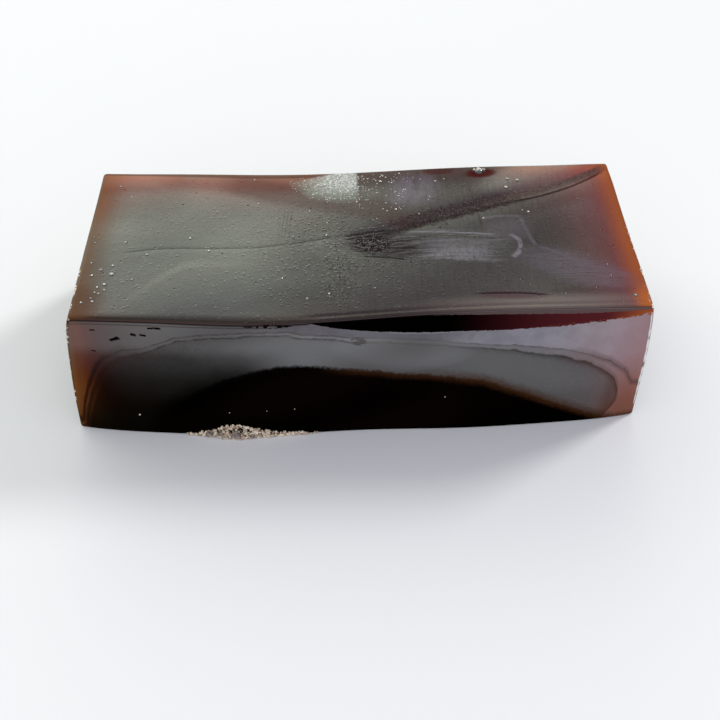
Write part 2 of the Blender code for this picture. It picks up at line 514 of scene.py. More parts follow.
# Thin marks in the skin, in millimetres: where each starts and ends, its half width, and how far it bows to
# its left. Marks on the top are X and Y from the block's middle, and the pits on the front X and height.
DARK_LINES = (
    ((-80, -6.3), (-54, -3.1), 0.36, 0.8),
    ((-58, -3.2), (-30, -1.8), 0.30, -0.2),
    ((-34, -2.1), (8, 4), 0.36, 0),
    ((-41, -4.8), (-19, -1.6), 0.22, 0),
    ((-25.2, 18.5), (-26.2, 3), 0.20, 0),
    ((-23.8, 17), (-25.4, 0.5), 0.18, 0),
    ((-22.6, 16.5), (-23.6, 2.5), 0.16, 0),
    ((-7.9, 1), (-6, -22), 0.30, 0.6),
    ((40.5, 27), (43.5, 2), 0.28, 0.4),
)
DARK_STROKES = (
    ((-5.2, 1.5), (11, 3.9), 0.60, 0),
    ((-4.6, 0.1), (7, 1.7), 0.45, 0),
    ((1, -8.4), (17, -11.4), 0.40, 0.3),
    # Painted shadow: this stroke is the dark line under the fold's lower edge
    ((53, 15.2), (93, 31.8), 0.75, -2.9),
    ((36.5, -27.4), (62, -29.2), 0.55, 0.9),
)
PALE_LINES = (
    ((18, 2.6), (49, -0.9), 0.50, 0.3),
    ((52, -0.3), (54.2, -8.6), 1.15, 2.2),
    ((54.8, -7.4), (51.4, -11.4), 1.25, 0.7),
)
PIT_LINES = (
    ((-80.8, 45.2), (-76.9, 46.1), 0.80, 0),
    ((-79.6, 46), (-77.6, 46.6), 0.40, 0),
    ((-73.6, 48), (-71.5, 47.3), 0.65, 0),
    ((-70.8, 47.6), (-68.4, 47), 0.60, 0),
    ((-67.9, 50.2), (-65.5, 50.5), 0.60, 0),
    ((-65.8, 50.5), (-63.2, 50), 0.55, 0),
    ((-86, 49.9), (-84.2, 49.7), 0.50, 0),
    ((-87.7, 40.6), (-86, 40), 0.45, 0),
)
VEIL_LINES = (
    ((43, 7.2), (58.5, 7.6), 1.00, 1),
    ((57.2, 8.6), (60.9, -7.4), 1.00, -0.6),
    ((59.8, -6.2), (75, -15.6), 1.10, 0.8),
    ((72, -14.2), (90, -21.4), 1.50, -0.3),
)

# The froth lies in a quarter of an oval at the back edge, cut off at its right
FROTH_CENTRE = (0, 34.5)
FROTH_REACH = (26, 16.8)
FROTH_RIGHT = (1.5, 0)


def fold_lines(place, near, far):
    """The fold's band and tail, its tail alone, its painted shadow line, and the soft shade in front of it.
    """
    torn = place.shaken(0.45, 5)
    band = torn.stroke((8, 4.2), (58, 18.6), 4.1, 0.4).ramp(0.10, 0.60)
    tail = near.stroke((50, 17.6), (94, 34), 2.3, -2.4)
    foot = torn.stroke((3, -1), (64, 17.6), 2, 0.9)
    shade = far.stroke((12, -4.5), (86, 22.5), 6.5, 0)
    return band.most(tail * 0.95), tail, foot, shade


def brushed_smear(place, near, far, streaks):
    """A smear brushed to the right and cut off at its ends, and thin veils right of it and behind it."""
    hatch = place.drawn_out((1.4, 0.35, 0.2), 3, 0.7).ramp(0.36, 0.60)
    brushed = place.drawn_out((0.06, 1.1, 0.2), 3, 0.7)
    holes = 1.0 - 0.8 * near.dots(0.55, 0.30)
    swept = far.axis(0) + brushed * 44.0 - 22.0
    across = far.axis(1) + place.axis(0) * 0.10
    core = swept.ramp(19, 24) * swept.ramp(50, 42) * across.ramp(-9.4, -8) * across.ramp(2.6, 0.2)
    core = core * (0.55 + 0.45 * far.patch((34, -9.4), (15, 5), -0.10, 0.8))
    core = core * (0.60 + 0.40 * hatch) * (0.40 + 0.60 * brushed.ramp(0.34, 0.50)) * holes
    thin = far.patch((32, -2.2), (24, 7), -0.08, 0.7) * brushed.ramp(0.50, 0.62)
    cloudy = far.drawn_out((0.3, 0.12, 0.2), 3, 0.6).ramp(0.35, 0.6)
    veil = far.patch((72, -17), (26, 9), -0.40, 0.9) * (0.3 + 0.7 * streaks)
    veil = veil.most(far.patch((21, 24), (13, 11), 0.5, 0.9) * (0.5 + cloudy))
    veil = veil.most(far.patch((52, 2), (10, 7), -0.2, 0.6) * 0.45)
    return core.most(thin * 0.75), veil.most(near.lines(VEIL_LINES) * 0.9)


def rough_skin(place, far, fold, streaks):
    """Rough skin where the fold starts, its tails, a row of pimples, and grit, pits and pimples all round.

    It gives the shares that they take from the gloss, the pale salt, the grit and the relief.
    """
    middle = far.patch((4.9, -2.3), (8.6, 6), -0.05, 0.5)
    tails = far.patch((14, -4), (20, 7.6), -0.05, 0.8) * streaks
    row = far.stroke((-8.5, 8), (-5.5, -30), 7, 0.5) * (0.3 + 0.7 * place.axis(1).ramp(-3, -11))
    around = far.patch((-9, -3), (34, 30), 0, 0.9)
    rough = middle.most(fold * (0.4 + 0.5 * place.axis(0).ramp(62, 48))).most(row * 0.45)
    pimple_place = place.noise(0.22, 3, 0.6).ramp(0.42, 0.62)
    pimples = place.dots(0.62, 0.36) * (0.22 * pimple_place + 0.26 * around + 0.5 * rough)
    grit = place.noise(1.2, 3, 0.8)
    dark_grit = grit.ramp(0.50, 0.62)
    pits = place.dots(0.22, 0.11)
    salt = place.dots(1.4, 0.36) * (middle * 0.62).most(row * 0.32).most(fold * 0.22)
    pepper = place.vector("MULTIPLY", place, (0.5, 1, 1)).noise(1.3, 2, 0.6).ramp(0.50, 0.56)
    peppered = middle.most(fold * 0.6).most(row * 0.28).most(around * 0.12)
    shares = (
        (0.16 + 0.16 * around) * grit.ramp(0.4, 0.7),
        pits * 0.6,
        rough * dark_grit * 0.85,
        middle * 0.20,
        tails * 0.85,
        peppered * pepper * 0.9,
    )
    relief = 0.14 * pimples - 0.10 * pits - 0.06 * (0.10 + rough) * dark_grit
    return shares, salt, grit, relief


def froth_film(place, near, far, grit):
    """The film under the froth, palest at its right end, and painted shade of dark wine red round the
    largest bubbles.

    It gives the shares that they take from the gloss, their paints and their relief.
    """
    along, back = place.axis(0), place.axis(1)
    film = far.patch(FROTH_CENTRE, FROTH_REACH, 0, 0.22) * near.axis(0).ramp(*FROTH_RIGHT)
    film = film * (1.0 - (back - along * 0.25).ramp(36.6, 38.2))
    film_end = film * far.axis(0).ramp(-23, -5) * back.ramp(20, 31)
    bright_grit = place.dots(0.95, 0.27) * place.noise(0.5, 2, 0.6).ramp(0.44, 0.56)
    bubble_shade = near.patch((46.4, 31.4), (7, 3), 0.05, 0.5)
    bubble_shade = bubble_shade.most(near.patch((31, 33.6), (7, 2.4)) * 0.6)
    paints = (
        (bubble_shade * 0.9, (0.055, 0.005, 0.004)),
        (film * (0.34 + 0.45 * bright_grit + 0.2 * grit.ramp(0.5, 0.6)), (0.23, 0.27, 0.21)),
        (film_end * (0.25 + 0.65 * grit.ramp(0.45, 0.6)), (0.66, 0.70, 0.68)),
    )
    return (bubble_shade * 0.85, film * 0.35), paints, 0.04 * film * bright_grit


def top_edges(place, near, far):
    """The top near its edges: the shares that its back, ends and front take from the gloss, and paints."""
    along, back = place.axis(0), place.axis(1)
    near_ends = along.ramp(-78, -92).most(along.ramp(76, 94))
    outer = along.ramp(84.5, 94.8).most(along.ramp(-82, -96))
    near_back = back.ramp(22, 31) * (1.0 - along.ramp(38, 56) * 0.9)
    back_strip = back.ramp(25, 31) * along.ramp(-62, -76)
    back_middle = back.ramp(28, 33) * along.ramp(-70, -58) * along.ramp(4, -14)
    back_rim = back.ramp(33.3, 34.3) * along.ramp(8, -20)
    front_left = far.patch((-93, -29), (14, 10), 0.4, 0.6)
    front_band = back.ramp(-27, -31) * along.ramp(4, 60) * (1.0 - 0.4 * along.ramp(68, 92))
    front_rim = back.ramp(-31.8, -34.4) * (0.45 + 0.25 * along.ramp(-10, -50))
    shares = (near_ends * 0.55, outer * 0.58, near_back * 0.55, back_rim * 0.5, front_left * 0.5, front_rim)
    # Painted glow: amber to red at both ends and warm strips along the back edge, light through the jelly
    paints = (
        (along.ramp(62, 92) * 0.32, (0.16, 0.035, 0.045)),
        (front_band * 0.45, (0.20, 0.150, 0.135)),
        (back_strip * 0.30, (0.40, 0.26, 0.20)),
        (back_middle * 0.45, (0.12, 0.055, 0.042)),
        (back_rim * 0.7, (0.055, 0.026, 0.017)),
        (along.ramp(84.5, 94.8) * 0.68, (0.34, 0.078, 0.010)),
        (near.patch((95, -32), (8, 9), 0, 0.8) * 0.6, (0.42, 0.105, 0.012)),
        (along.ramp(-80, -96) * 0.60, (0.17, 0.072, 0.020)),
        (front_left * 0.5, (0.085, 0.045, 0.028)),
    )
    return shares, paints


def top_marks(place):
    """The top's marks: the gloss left, the paints as (share, colour), the relief and what is rougher."""
    # The place shaken by fine noise, for small marks with slightly ragged edges, and by coarse noise, for
    # large ones with soft and wandering edges
    near = place.shaken(0.9, 0.9)
    far = place.shaken(0.33, 3.4)
    broken = 0.25 + 0.75 * place.noise(0.5, 3, 0.7).ramp(0.30, 0.60)
    dark_lines = near.lines(DARK_LINES) * broken
    pale_lines = near.lines(PALE_LINES) * broken
    dark_strokes = near.lines(DARK_STROKES)
    streaks = place.drawn_out((0.11, 1.5, 0.2), 4, 0.7).ramp(0.36, 0.56)
    fold, fold_tail, fold_shadow_line, fold_shade = fold_lines(place, near, far)
    smear, veil = brushed_smear(place, near, far, streaks)
    rough_shares, salt, grit, rough_relief = rough_skin(place, far, fold, streaks)
    froth_shares, froth_paints, froth_relief = froth_film(place, near, far, grit)
    edge_shares, edge_paints = top_edges(place, near, far)

    # How dim the mirror image gets to the right, with a weave of faint lines, and soft places in it. The
    # olive grey painted on the left and the purplish grey on the right are painted sheen.
    along, back = place.axis(0), place.axis(1)
    drift = place.noise(0.035, 3, 0.5) * 30.0 - 15.0
    right_part = (along + drift).ramp(-50, 26) * (1.0 - (along - back * 0.3).ramp(50, 78) * 0.35)
    wedge = near.patch((63, 29), (23, 8.6), 0.28, 0.6)
    wedge = wedge.most(far.patch((-9.5, -1.5), (11, 7.5), 0.1, 0.9) * 0.9)
    weave = place.drawn_out((1.1, 0.10, 0.2), 3, 0.7).ramp(0.42, 0.62) * right_part
    warm = far.stroke((-52, 33), (24, 8), 8, 1)
    painted_left_sheen = far.patch((-58, -9), (58, 33), 0, 0.9)
    dim_left = far.patch((-80, 22), (26, 18), 0, 0.8)
    lens = near.patch((49.5, -28.2), (14, 2.2), -0.06, 0.6)
    dusk = far.patch((72, -8), (23, 23), 0, 0.8)
    dusk = dusk.most(far.patch((-14, -27), (30, 10), 0, 0.9) * 0.7)
    dusk = dusk.most(far.patch((74, -28), (17, 3.8), 0, 0.8) * 0.8)

    gloss = (1.0 - right_part * (0.54 - 0.50 * wedge)).less(
        weave * 0.16, dusk * 0.34, warm * 0.42, lens * 0.35, dim_left * 0.3, dark_lines * 0.38,
        dark_strokes * 0.75, fold * 0.50, fold_shadow_line * 0.5, fold_shade * 0.26)
    gloss = gloss.less(*rough_shares, *froth_shares, *edge_shares)
    paints = (
        # Painted sheen: olive grey on the left and purplish grey on the right, where the top mirrors the
        # window
        (painted_left_sheen, (0.034, 0.036, 0.030)),
        (right_part * 0.24, (0.065, 0.045, 0.055)),
        *edge_paints,
        (warm * 0.45, (0.070, 0.036, 0.030)),
        (lens * 0.7, (0.060, 0.020, 0.030)),
        (veil * 0.45, (0.11, 0.085, 0.125)),
        (pale_lines * 0.55, (0.20, 0.18, 0.22)),
        (smear * 0.80, (0.145, 0.132, 0.155)),
        (fold * 0.5, (0.042, 0.024, 0.024)),
        (fold_tail * 0.7, (0.060, 0.029, 0.026)),
        # Painted shadow under the fold's lower edge, with the other dark strokes
        (dark_strokes.most(fold_shadow_line * 0.7) * 0.7, (0.010, 0.006, 0.006)),
        (salt, (0.30, 0.275, 0.24)),
        *froth_paints,
    )
    relief = rough_relief + froth_relief - 0.03 * dark_lines - 0.04 * dark_strokes + 0.012 * pale_lines
    dulled = 0.20 * pale_lines + 0.15 * smear + 0.10 * fold
    return gloss, paints, relief, dulled


def arch_marks(along, over_arch, ragged):
    """The dull arch, painted shade, soft on its left and sharp on its right, and the brown fringe along its
    edge, painted reflection.
    """
    rightward = along.ramp(-70, -20)
    edge = over_arch + ragged * (1.0 + rightward * 0.7)
    arch = edge.ramp(0.8, -1) * rightward + (over_arch + ragged).ramp(9, -4) * (1.0 - rightward)
    fringe = (edge + ragged).ramp(4.2, 0.4) * edge.ramp(-4, -0.4) * along.ramp(6, 44)
    fringe = fringe.most(edge.ramp(-3.6, -0.6) * edge.ramp(0.7, -0.1) * along.ramp(-16, 0) * 0.8)
    return arch, fringe


def sheen_line_marks(upright, near, over_sheen, over_second):
    """Both painted sheen lines, with a scrawl in the middle, and the wider lines where they run down each
    end.
    """
    along, up = upright.axis(0), upright.axis(1)
    fade = 0.45 + 0.55 * upright.noise(0.25, 3, 0.6).ramp(0.35, 0.6)
    fade = fade * (1.0 - 0.65 * along.ramp(-1, 6) * along.ramp(44, 28))
    lines = abs(over_sheen).ramp(0.70, 0.12).most(abs(over_second).ramp(0.55, 0.12) * 0.8) * fade
    scrawl = near.patch((-0.6, 42.4), (3.4, 2.1), -0.25, 0.4) * near.noise(0.9, 2).ramp(0.38, 0.50)
    steep = abs(over_sheen).ramp(3.4, 0.8).most(abs(over_second).ramp(2.8, 0.6))
    left_lines = steep * along.ramp(-78, -88)
    right_lines = steep * along.ramp(64, 84) * up.ramp(4, 14)
    return lines.most(scrawl) * up.ramp(6, 18), left_lines, right_lines


def sheen_greys(upright, arch, facet, below_sheen, above_second):
    """The pale film above the sheen line, wine red to its right, and the brighter grey below it.

    The greys are painted reflection, and the wine red is painted glow.
    """
    along = upright.axis(0)
    cloudy = 0.85 + 0.3 * upright.noise(0.14, 3, 0.6).ramp(0.35, 0.65)
    pale_sheen = (0.35 + 0.65 * above_second) * (1.0 - below_sheen) * (1.0 - facet) * along.ramp(-75, 65)
    pale_sheen = pale_sheen * cloudy * (1.0 - along.ramp(84, 98) * 0.4)
    wine = along.ramp(58, 96).less(facet, arch, below_sheen)
    bright = upright.patch((-16, 38.5), (48, 13), -0.08, 0.9)
    bright = bright.most(upright.patch((46, 28), (46, 12), -0.2, 0.9) * 0.6)
    bright = bright.most(upright.patch((12, 38), (35, 11), -0.1, 0.9) * 1.6)
    return pale_sheen, wine, bright.less(arch, facet, above_second * 0.9)


def front_marks(place):
    """The front's marks, the same but for what is rougher: its facet, sheen lines, dull arch and pits, with
    painted reflection, shade and glow among them.
    """
    along, up = place.axis(0), place.axis(2)
    upright = place.node("ShaderNodeCombineXYZ", None, {"X": along, "Y": up})
    near = upright.shaken(0.9, 1.2)
    ragged = (place.noise(0.8, 4, 0.7) - 0.5) * 1.6
    wander = (upright.noise(0.16, 3, 0.6) - 0.5) * 2.4

    # The facet, dull and painted black as painted shade, with its torn lower line, a thin line that runs on
    # from it, painted glints along the torn line, and small dark pits
    torn_part = along.ramp(45, 92)
    torn_edge = (upright.noise(0.42, 2, 0.6) - 0.5) * 3.4 * torn_part
    facet_rise = 0.5 * along.ramp(30, 50) * along.ramp(80, 62)
    over_facet = place.attribute("over_facet") + ragged * 0.9 + torn_edge + facet_rise
    facet = over_facet.ramp(-0.12, 0.12)
    facet_lip = near.patch((54, 55.2), (50, 2.6), 0, 0.12)
    glints = near.dots(1.1, 0.45) * abs(over_facet - 0.3).ramp(0.9, 0.1) * torn_part
    top_line = place.attribute("over_facet") + 1.9 + ragged * 0.3
    top_line = abs(top_line).ramp(0.55, 0.10) * along.ramp(-16, -34)
    nicked = upright.noise(0.8, 2, 0.6).ramp(0.44, 0.50)
    pits = near.lines(PIT_LINES).most(near.patch((-29.5, 50.5), (8.5, 0.75), 0, 0.2) * nicked)

    # The arch, painted shade, and the sheen lines, painted reflection
    arch, fringe = arch_marks(along, place.attribute("over_arch") + wander * 0.2, ragged)
    over_sheen = place.attribute("over_sheen") + ragged * 0.7 + wander
    over_sheen = over_sheen * (1.0 - 0.85 * up.ramp(17, 6) * along.ramp(60, 80))
    over_second = place.attribute("over_second") + ragged * 0.9 + wander * 0.7
    below_sheen = over_sheen.ramp(0.3, -0.3)
    above_second = over_second.ramp(-0.3, 0.3)
    sheen_lines, left_lines, right_lines = sheen_line_marks(upright, near, over_sheen, over_second)
    pale_sheen, wine, bright = sheen_greys(upright, arch, facet, below_sheen, above_second)

    # How dim the mirror image gets inside the sheen line, to the foot and at both ends; low on the left, at
    # the left foot and at the right side it is painted shade in the colour too
    inner_shade = over_sheen.ramp(-2.6, -0.2) * below_sheen * along.ramp(20, 75)
    shaded_right_side = along.ramp(84, 90) * below_sheen * up.ramp(32, 22)
    upper_shade = upright.patch((47, 45), (20, 7), -0.1, 0.9) * 0.35
    upper_shade = above_second * upper_shade.most(upright.patch((-7, 49), (25, 9), 0, 0.8))
    level = up + wander * 1.5 + along * 0.02 - 0.7
    low_light = 0.10 * level.ramp(10, 24) + 0.32 * level.ramp(22, 39) + 0.58 * level.ramp(35, 42)
    left_low = (1.0 - low_light) * along.ramp(-18, -42)
    left_foot = up.ramp(15, 3) * along.ramp(-101, -97)
    left_strip = along.ramp(-76, -93) * up.ramp(40, 18)
    right_strip = along.ramp(78, 96) * up.ramp(40, 6) * (1.0 - below_sheen * up.ramp(2, 20))
    grain = place.noise(1.5, 3, 0.8).ramp(0.40, 0.65)

    gloss = (1.0 - facet).less(
        arch, fringe * 0.6, pits, top_line * 0.5, sheen_lines * 0.60, left_lines * 0.5, right_lines * 0.35,
        below_sheen * 0.20, grain * below_sheen * 0.18, inner_shade * 0.45, shaded_right_side * 0.4,
        upper_shade * 0.45, left_low, left_strip, right_strip * 0.7, along.ramp(-60, -94) * 0.50,
        along.ramp(82, 97) * 0.25)
    paints = (
        # Painted glow: amber low on the left end, light that comes through the jelly
        (along.ramp(-86, -96) * up.ramp(44, 20) * 0.5, (0.16, 0.072, 0.020)),
        # Painted shade: near black at the left foot and low on the left
        (left_foot * 0.7, (0.0004, 0.0002, 0.0001)),
        (left_low * over_sheen.ramp(1, -5) * 0.85, (0.0035, 0.0032, 0.0016)),
        # Painted reflection: the pale and brighter greys where the front mirrors the room
        (pale_sheen.less(pits, right_strip) * 0.85, (0.18, 0.163, 0.205)),
        (bright.less(left_low * 0.8) * 0.56, (0.14, 0.14, 0.145)),
        # Painted glow: wine red and orange toward the right end
        (wine * 0.50, (0.32, 0.12, 0.14)),
        (right_strip * 0.85, (0.19, 0.055, 0.022)),
        # Painted shade: browner inside the sheen line at the right side
        (shaded_right_side * 0.5, (0.060, 0.026, 0.020)),
        # Painted shade: near black in the dull arch
        (arch * along.ramp(-90, -70), (0.0003, 0.0002, 0.0001)),
        # Painted shade: the facet black; its orange right end is painted glow
        (facet, (0.0004, 0.0003, 0.0002)),
        (facet * along.ramp(28, 80) * 0.95, (0.090, 0.015, 0.019)),
        (facet * along.ramp(78, 96) * 0.95, (0.36, 0.085, 0.025)),
        (facet_lip * 0.9, (0.115, 0.078, 0.076)),
        # Painted reflection: the dark sheen lines, with the thin line under the facet and their ends
        (sheen_lines.most(top_line) * (1.0 - arch) * 0.65, (0.040, 0.026, 0.019)),
        (left_lines * 0.8, (0.014, 0.005, 0.003)),
        (right_lines * 0.55, (0.075, 0.034, 0.028)),
        # Painted reflection: the brown fringe along the arch's edge
        (fringe * 0.85, (0.048, 0.0185, 0.007)),
        (pits * 0.95, (0.0015, 0.001, 0.001)),
        # Painted glints: bright red dots along the torn line
        (glints * 0.7, (0.5, 0.16, 0.10)),
    )
    return gloss, paints, 0.05 * sheen_lines - 0.06 * pits


def side_marks(place):
    """The back's and both ends' marks: a wandering film edge with a dull, dark foot below it, and pits."""
    film = place.axis(2) + place.noise(0.016, 2, 0.4) * 56.0 - 28.0
    ragged = place.noise(0.5, 3, 0.6) * 1.6 - 0.8
    film_edge = abs(film + ragged - 32.0).ramp(0.7, 0.1) + abs(film + ragged - 34.0).ramp(0.5, 0.1)
    foot = (film + ragged).ramp(32, 16)
    cloud = place.drawn_out((0.05, 0.05, 0.02), 3, 0.5).ramp(0.35, 0.70)
    pits = place.dots(0.16, 0.10)
    gloss = (1.0 - foot * 0.95).less(film_edge * 0.45, cloud * 0.25, pits)
    paints = ((film_edge * 0.5, (0.040, 0.026, 0.019)),)
    return gloss, paints, 0.03 * film_edge - 0.06 * pits


def jelly_material():
    """Coffee jelly with a wet skin: black inside, amber painted glow near its edges, and marks in its skin.
    Among the marks are painted sheen, painted reflection, painted shade and painted glints.

    A glossy and a dull shader share the colour, roughness and bump, and the gloss that is left mixes them.
    """
    material, shader, place = new_material("coffee_jelly")
    normal = place.node("ShaderNodeNewGeometry", output=1)
    slope = normal.axis(2)
    on_top = slope.ramp(0.6, 0.85)
    on_front = place.attribute("front") * (1.0 - on_top)
    forward = normal.axis(1).ramp(-0.2, -0.4)
    front_edge = slope.ramp(0.50, 0.68) * slope.ramp(0.95, 0.80) * forward
    edge_shadow = slope.ramp(0.14, 0.30) * slope.ramp(0.66, 0.50) * forward
    top_gloss, top_paints, top_relief, dulled = top_marks(place)
    front_gloss, front_paints, front_relief = front_marks(place)
    on_sides = (1.0 - on_top) * (1.0 - place.attribute("front"))
    side_gloss, side_paints, side_relief = side_marks(place)

    # Painted glow: the light that comes through the jelly, worked out for each point, sets the base colour
    light = place.attribute("glow", 0)
    cloud = place.noise(0.06, 4, 0.55).ramp(0.3, 0.7)
    lit = light.scaled(0.85 + 0.35 * cloud)
    colour = place.vector("ADD", lit, (0.0005, 0.0003, 0.0002))
    for side, paints in ((on_top, top_paints), (on_front, front_paints), (on_sides, side_paints)):
        for share, paint in paints:
            colour = (side * share).mixed(colour, paint)
    along = place.axis(0)
    edge_tone = along.ramp(-10, -50).most(along.ramp(70, 96))
    colour = (front_edge * (0.25 + 0.60 * edge_tone)).mixed(colour, (0.052, 0.022, 0.013))
    edge_shadow = edge_shadow * (1.0 - 0.75 * along.ramp(15, 45))
    colour = (edge_shadow * 0.9).mixed(colour, (0.010, 0.004, 0.003))
    gloss = 1.0 - on_top * (1.0 - top_gloss) - on_front * (1.0 - front_gloss)
    gloss = gloss - on_sides * (1.0 - side_gloss)
    gloss = gloss.less(front_edge * 0.75, edge_shadow * 0.9)

    fine = place.noise(0.9, 3, 0.6)
    long_smear = place.drawn_out((0.018, 0.16, 0.06), 4, 0.6)
    roughness = 0.07 + 0.10 * long_smear + 0.04 * fine + on_top * dulled
    relief = 0.05 * place.noise(0.12, 3, 0.5) + 0.006 * fine
    relief = relief + on_top * top_relief + on_front * front_relief + on_sides * side_relief
    bump = place.node("ShaderNodeBump", None, {"Strength": 1.0, "Distance": 0.001, "Height": relief})

    glossy = Field(place.tree, shader.outputs[0])
    dull = place.node("ShaderNodeBsdfPrincipled")
    for layer, bending, level in ((glossy, 1.72, 0.85), (dull, 1.30, 0.0)):
        inputs = layer.socket.node.inputs
        inputs["IOR"].default_value = bending
        inputs["Specular IOR Level"].default_value = level
        colour.into(inputs["Base Color"])
        roughness.into(inputs["Roughness"])
        bump.into(inputs["Normal"])
    mixed = place.node("ShaderNodeMixShader", None, {0: gloss, 1: dull, 2: glossy})
    mixed.into(material.node_tree.nodes["Material Output"].inputs[0])
    return material


# The relief of the top, in metres. A long crease runs to where the fold starts, with a low step beside it.
# Another step curves across the left part, the fold has a groove of its own, and a second groove runs just
# behind the front edge.
CREASE = (
    (-0.081, -0.0066), (-0.067, -0.0037), (-0.050, -0.0031), (-0.033, -0.0021), (-0.009, 0.0011),
    (0.001, 0.0022),
)
CREASE_DEPTH = 0.00003
CREASE_HALF_WIDTH = 0.0008
CREASE_STEP = 0.00002
LEFT_STEP = 0.00007
GROOVE_DEPTH = 0.00008
GROOVE_HALF_WIDTH = 0.0019
EDGE_GROOVE_DEPTH = 0.00010
EDGE_GROOVE_INSET = 0.0021
EDGE_GROOVE_HALF_WIDTH = 0.0005


def top_grooves(x, y):
    """How far the top stands over its slumped form: grooves are bells across their lines, steps smooth."""
    crease_y = np.interp(x, *zip(*CREASE))
    crease_fade = smooth((x - CREASE[0][0]) / 0.008) * smooth((CREASE[-1][0] - x) / 0.008)
    crease = -CREASE_DEPTH * bell(y, crease_y, CREASE_HALF_WIDTH)
    crease = crease - CREASE_STEP * smooth((crease_y - y) / 0.003 + 0.5)
    step_y = -0.0100 - 0.0095 * np.clip((-0.0550 - x) / 0.014, 0.0, 2.0) ** 1.5
    step_fade = smooth((x + 0.082) / 0.02) * smooth((-0.030 - x) / 0.03)
    step = LEFT_STEP * smooth((step_y - y) / 0.0045 + 0.5) * step_fade
    along, beside = along_fold(x, y)
    beside = beside + 0.0012 * bell(along, 0.084, 0.012) - 0.0014 * bell(along, 0.045, 0.025)
    groove_fade = smooth(along / 0.012) * smooth((0.106 - along) / 0.02)
    groove = -GROOVE_DEPTH * bell(beside, 0.0, GROOVE_HALF_WIDTH) * groove_fade
    edge_y = -CARTON_WIDTH / 2 + EDGE_GROOVE_INSET
    edge_groove = -EDGE_GROOVE_DEPTH * bell(y, edge_y, EDGE_GROOVE_HALF_WIDTH)
    return crease * crease_fade + step + groove + edge_groove * smooth((x + 0.022) / 0.01)


box_x, box_y, box_z = carton_points()
BLOCK_GRID = slumped(box_x, box_y, box_z)
BLOCK_GRID[..., 2] += top_grooves(box_x, box_y) * smooth((box_z / HEIGHT - 0.96) / 0.04)


def closed_rows(grid):
    """A grid's values in the order of the mesh's points: its first and last rows are one point each."""
    return np.concatenate([grid[0, :1], grid[1:-1].reshape(-1, *grid.shape[2:]), grid[-1, :1]])


BLOCK_POINTS = closed_rows(BLOCK_GRID)
quads, triangles = skin_faces(BLOCK_GRID.shape[0] - 2, BLOCK_GRID.shape[1])
low, high = (np.array(corner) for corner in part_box("jelly_block"))
CENTRE_SHIFT = (low + high) / 2 - (BLOCK_POINTS.min(axis=0) + BLOCK_POINTS.max(axis=0)) / 2
CENTRE_SHIFT[2] = 0.0
block = mesh_object("jelly_body", BLOCK_POINTS + CENTRE_SHIFT, quads, triangles, jelly_material())
normals = np.empty(len(BLOCK_POINTS) * 3, dtype=np.float32)
block.data.vertices.foreach_get("normal", normals)
shade = np.ones((len(BLOCK_POINTS), 4), dtype=np.float32)
shade[:, :3] = glow(BLOCK_POINTS, normals.reshape(-1, 3))
layer = block.data.color_attributes.new("glow", "FLOAT_COLOR", "POINT")
layer.data.foreach_set("color", shade.ravel())
carton = [closed_rows(grid) for grid in (box_x, box_y, box_z)]
for name, values in front_lines(carton, BLOCK_POINTS + CENTRE_SHIFT).items():
    layer = block.data.attributes.new(name, "FLOAT", "POINT")
    layer.data.foreach_set("value", values.astype(np.float32))
part_of_block(block)


# Small bubbles sit in the skin, most of them near the left end and round the froth. Each is a closed bead
# of wet skin, a little flattened and sunk into the surface. Their places and radii are in millimetres.
SINGLE_BUBBLES = (
    (-84.6, 27.7, 0.50), (-79.7, 22, 0.45), (-78.5, -0.9, 0.60), (-70.8, -6.5, 0.55), (-57.3, 1.8, 0.60),
    (-88.3, -10.7, 0.45), (-84.8, -13.8, 0.75), (-81.3, -11.8, 0.65), (-81, -15.6, 0.90),
    (-87.2, -16.3, 0.60), (-82.6, -20.2, 0.80), (-84.7, -21.4, 0.50), (-82.3, -22.6, 0.60),
    (-85.1, -23.7, 0.45), (-83.8, -24.2, 0.50), (-85.9, -26.2, 0.50), (-85.2, -27.6, 0.55),
    (-88.6, -28.1, 0.55), (-74.1, -17.9, 0.60), (-50.6, -4, 0.60), (-51.6, -2.6, 0.35),
    (-89.4, 1.6, 0.35), (-88.8, -1.2, 0.35), (-10.5, 2.9, 0.60), (-22.1, 2.9, 0.60), (-11, -7.3, 0.35),
    (-16.9, -25.8, 0.60), (-25.4, -16.4, 0.45), (5.2, -23.1, 0.45), (-9.8, -24.2, 0.50),
    (14.1, 13.9, 0.55), (15.9, 14, 0.50), (9.5, 14.3, 0.40), (15.6, 20.8, 0.50), (7.7, 23, 0.45),
    (9.4, 29.3, 0.70), (29.3, 27.9, 0.60), (16.6, 33.1, 0.60), (55.6, 27.6, 0.70), (59.1, 26.6, 0.80),
    (54.5, 23.2, 0.85), (60.5, 9.9, 0.65), (58.5, 10.9, 0.40), (44.4, 7.6, 0.50), (88.7, -29.7, 0.65),
    (45.9, 32.6, 1.70), (44.3, 33.2, 0.80), (47.7, 33, 0.90), (45.8, 34, 0.60), (46.6, 32, 0.70),
)
BUBBLE_SUNK = 0.25
rng = np.random.default_rng(7)


def top_height(x, y):
    """The height of the block's top at places on the ground, in metres, from the slump's formula."""
    carton_x = x - CENTRE_SHIFT[0]
    swell = SAG_SWELL * bell(carton_x, SAG_CENTRE, SAG_REACH)
    carton_y = (y - CENTRE_SHIFT[1]) / (1.0 + swell / (CARTON_WIDTH / 2))
    level = np.full_like(carton_x, HEIGHT)
    return slumped(carton_x, carton_y, level)[..., 2] + top_grooves(carton_x, carton_y)


